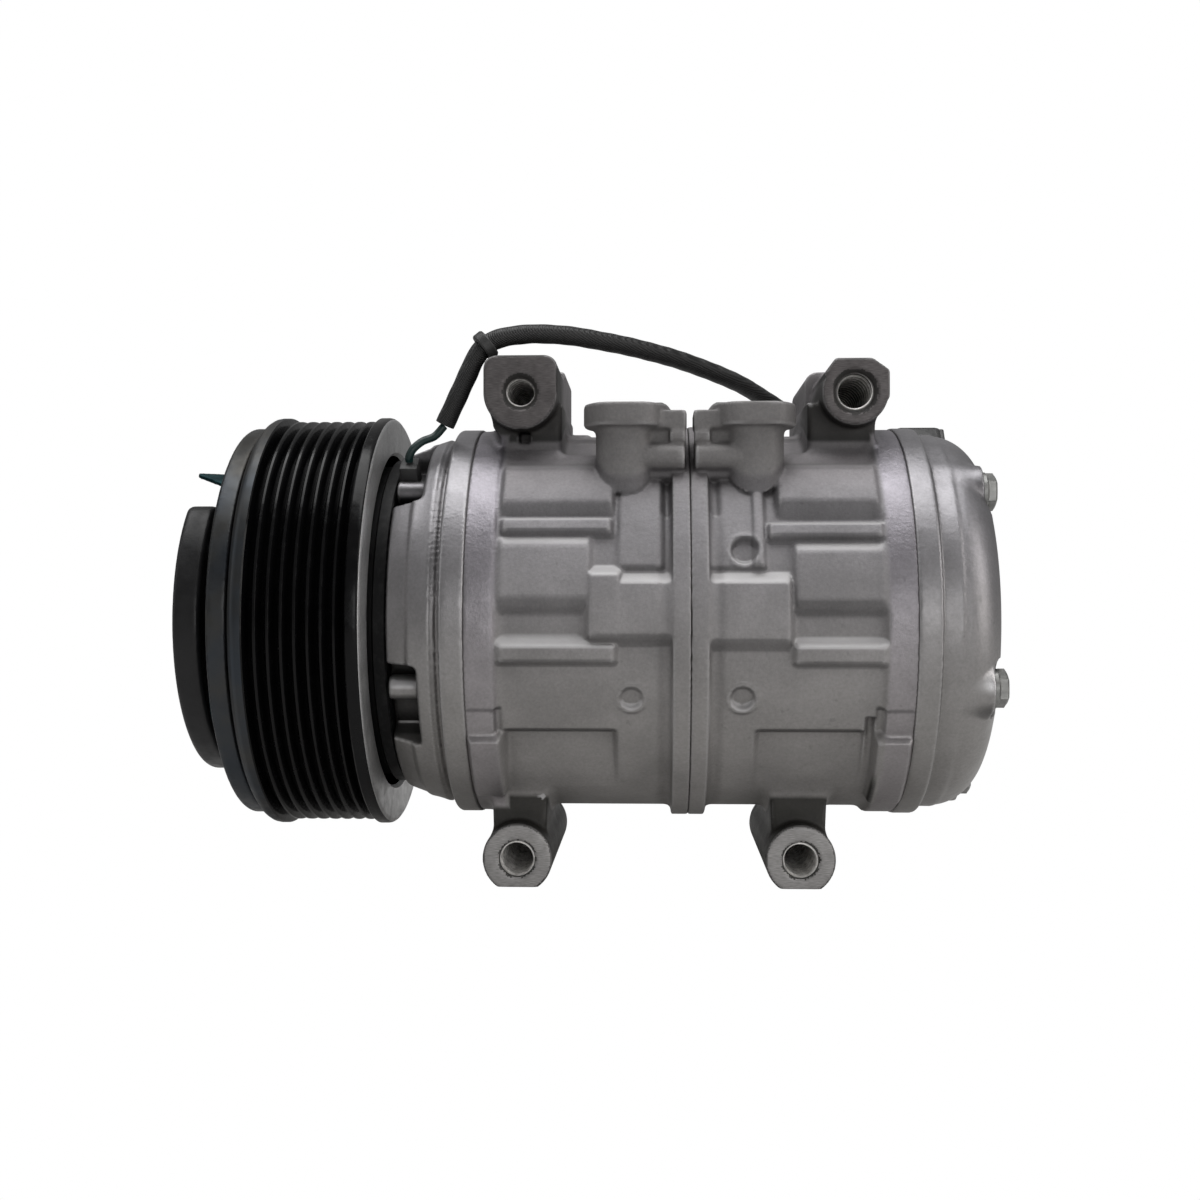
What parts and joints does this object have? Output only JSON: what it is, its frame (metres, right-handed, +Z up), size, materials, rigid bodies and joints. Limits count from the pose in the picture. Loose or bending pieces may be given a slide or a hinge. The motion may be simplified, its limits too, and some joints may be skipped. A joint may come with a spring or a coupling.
{
  "type": "automotive air-conditioning compressor",
  "caption": "Swash-plate air-conditioning compressor with an electromagnetic clutch, a grooved belt pulley, cast mounting ears and top hose ports.",
  "frame": {"origin": "bottom centre of the whole part, level with the flat undersides of the two lower mounting ears", "axes": "+X along the drive shaft from the clutch towards the rear cover, +Z up, +Y away from the side with the hose ports"},
  "size_m": [0.228, 0.1222, 0.1594],
  "materials": {
    "cast_aluminium": "bead-blasted casting",
    "bright_steel": "ground",
    "steel_plate": "pressed",
    "gasket_black": "matt",
    "hub_iron": "machined",
    "disc_bronze": "sprayed and ground",
    "piston_aluminium": "ground",
    "pulley_black": "gloss",
    "hub_black": "satin",
    "coil_black": "satin",
    "coil_resin": "potted",
    "brass_cage": "pressed",
    "armature_steel": "turned",
    "black_plastic": "moulded",
    "lead_sleeving": "braided sleeve"
  },
  "bodies": {
    "casing": {"front_housing": "cast_aluminium", "front_cylinder": "cast_aluminium", "rear_cylinder": "cast_aluminium", "rear_housing": "cast_aluminium", "front_suction_reed": "bright_steel", "rear_suction_reed": "bright_steel", "front_discharge_reed": "bright_steel", "rear_discharge_reed": "bright_steel", "front_valve_plate": "steel_plate", "rear_valve_plate": "steel_plate", "front_head_gasket": "gasket_black", "rear_head_gasket": "gasket_black", "front_o_ring": "gasket_black", "centre_o_ring": "gasket_black", "rear_o_ring": "gasket_black", "through_bolt_1": "bright_steel", "through_bolt_2": "bright_steel", "through_bolt_3": "bright_steel", "through_bolt_4": "bright_steel", "through_bolt_5": "bright_steel", "front_needle_bearing": "bright_steel", "rear_needle_bearing": "bright_steel", "shaft_seal": "gasket_black", "bearing_inner_race": "bright_steel", "coil_shell": "coil_black", "coil_winding": "coil_resin", "coil_terminal": "black_plastic", "lead_wire": "lead_sleeving", "lead_sleeve": "lead_sleeving", "lead_clip": "black_plastic", "lead_connector": "black_plastic", "connector_bracket": "steel_plate"},
    "pulley_rotor": {"pulley": "pulley_black", "bearing_outer_race": "bright_steel", "bearing_snap_ring": "bright_steel"},
    "ball_cage": {"bearing_ball_cage": "brass_cage"},
    "shaft_rotor": {"drive_shaft": "bright_steel", "swash_hub": "hub_iron", "front_thrust_bearing": "bright_steel", "rear_thrust_bearing": "bright_steel", "clutch_hub": "hub_black", "hub_bolt": "bright_steel", "leaf_spring": "bright_steel"},
    "armature_plate": {"armature": "armature_steel"},
    "swash_plate": {"swash_disc": "disc_bronze"},
    "shoe_pair_1": {"shoe_1_front": "bright_steel", "shoe_1_rear": "bright_steel"},
    "piston_body_1": {"piston_1": "piston_aluminium"},
    "shoe_pair_2": {"shoe_2_front": "bright_steel", "shoe_2_rear": "bright_steel"},
    "piston_body_2": {"piston_2": "piston_aluminium"},
    "shoe_pair_3": {"shoe_3_front": "bright_steel", "shoe_3_rear": "bright_steel"},
    "piston_body_3": {"piston_3": "piston_aluminium"},
    "shoe_pair_4": {"shoe_4_front": "bright_steel", "shoe_4_rear": "bright_steel"},
    "piston_body_4": {"piston_4": "piston_aluminium"},
    "shoe_pair_5": {"shoe_5_front": "bright_steel", "shoe_5_rear": "bright_steel"},
    "piston_body_5": {"piston_5": "piston_aluminium"}
  },
  "joints": [
    {"name": "pulley_spin", "type": "hinge", "parent": "casing", "child": "pulley_rotor", "pos_m": [0.0288, 0, 0.0743], "axis": [1, 0, 0], "continuous": true},
    {"name": "ball_cage_spin", "type": "hinge", "parent": "casing", "child": "ball_cage", "pos_m": [0.0288, 0, 0.0743], "axis": [1, 0, 0], "continuous": true},
    {"name": "shaft_spin", "type": "hinge", "parent": "casing", "child": "shaft_rotor", "pos_m": [0.0288, 0, 0.0743], "axis": [1, 0, 0], "continuous": true},
    {"name": "armature_pull", "type": "slide", "parent": "shaft_rotor", "child": "armature_plate", "axis": [1, 0, 0], "range_m": [0, 0.00045], "stiffness_N_per_m": 20000, "springref_m": -0.0005},
    {"name": "swash_wobble", "type": "hinge", "parent": "shaft_rotor", "child": "swash_plate", "pos_m": [0.0288, 0, 0.0743], "axis": [0.9616, -0.1028, 0.2544], "continuous": true},
    {"name": "shoe_1_swivel", "type": "hinge", "parent": "swash_plate", "child": "shoe_pair_1", "pos_m": [0.01962, -0.00197, 0.1082], "axis": [0.9616, -0.1028, 0.2544], "continuous": true},
    {"name": "piston_1_stroke", "type": "hinge", "parent": "shoe_pair_1", "child": "piston_body_1", "pos_m": [0.01962, -0.00197, 0.1082], "axis": [1, 0, 0], "continuous": true},
    {"name": "shoe_2_swivel", "type": "hinge", "parent": "swash_plate", "child": "shoe_pair_2", "pos_m": [0.02313, -0.03383, 0.08207], "axis": [0.9616, -0.1028, 0.2544], "continuous": true},
    {"name": "piston_2_stroke", "type": "hinge", "parent": "shoe_pair_2", "child": "piston_body_2", "pos_m": [0.02313, -0.03383, 0.08207], "axis": [1, 0, 0], "continuous": true},
    {"name": "shoe_3_swivel", "type": "hinge", "parent": "swash_plate", "child": "shoe_pair_3", "pos_m": [0.03447, -0.01894, 0.04521], "axis": [0.9616, -0.1028, 0.2544], "continuous": true},
    {"name": "piston_3_stroke", "type": "hinge", "parent": "shoe_pair_3", "child": "piston_body_3", "pos_m": [0.03447, -0.01894, 0.04521], "axis": [1, 0, 0], "continuous": true},
    {"name": "shoe_4_swivel", "type": "hinge", "parent": "swash_plate", "child": "shoe_pair_4", "pos_m": [0.03798, 0.02213, 0.04854], "axis": [0.9616, -0.1028, 0.2544], "continuous": true},
    {"name": "piston_4_stroke", "type": "hinge", "parent": "shoe_pair_4", "child": "piston_body_4", "pos_m": [0.03798, 0.02213, 0.04854], "axis": [1, 0, 0], "continuous": true},
    {"name": "shoe_5_swivel", "type": "hinge", "parent": "swash_plate", "child": "shoe_pair_5", "pos_m": [0.0288, 0.03261, 0.08748], "axis": [0.9616, -0.1028, 0.2544], "continuous": true},
    {"name": "piston_5_stroke", "type": "hinge", "parent": "shoe_pair_5", "child": "piston_body_5", "pos_m": [0.0288, 0.03261, 0.08748], "axis": [1, 0, 0], "continuous": true}
  ],
  "couplings": [
    {"joint": "ball_cage_spin", "follows": "pulley_spin", "ratio": 0.545},
    {"joint": "swash_wobble", "follows": "shaft_spin", "ratio": -1},
    {"joint": "shoe_1_swivel", "follows": "shaft_spin", "ratio": 1},
    {"joint": "piston_1_stroke", "follows": "shaft_spin", "ratio": -1},
    {"joint": "shoe_2_swivel", "follows": "shaft_spin", "ratio": 1},
    {"joint": "piston_2_stroke", "follows": "shaft_spin", "ratio": -1},
    {"joint": "shoe_3_swivel", "follows": "shaft_spin", "ratio": 1},
    {"joint": "piston_3_stroke", "follows": "shaft_spin", "ratio": -1},
    {"joint": "shoe_4_swivel", "follows": "shaft_spin", "ratio": 1},
    {"joint": "piston_4_stroke", "follows": "shaft_spin", "ratio": -1},
    {"joint": "shoe_5_swivel", "follows": "shaft_spin", "ratio": 1},
    {"joint": "piston_5_stroke", "follows": "shaft_spin", "ratio": -1}
  ]
}
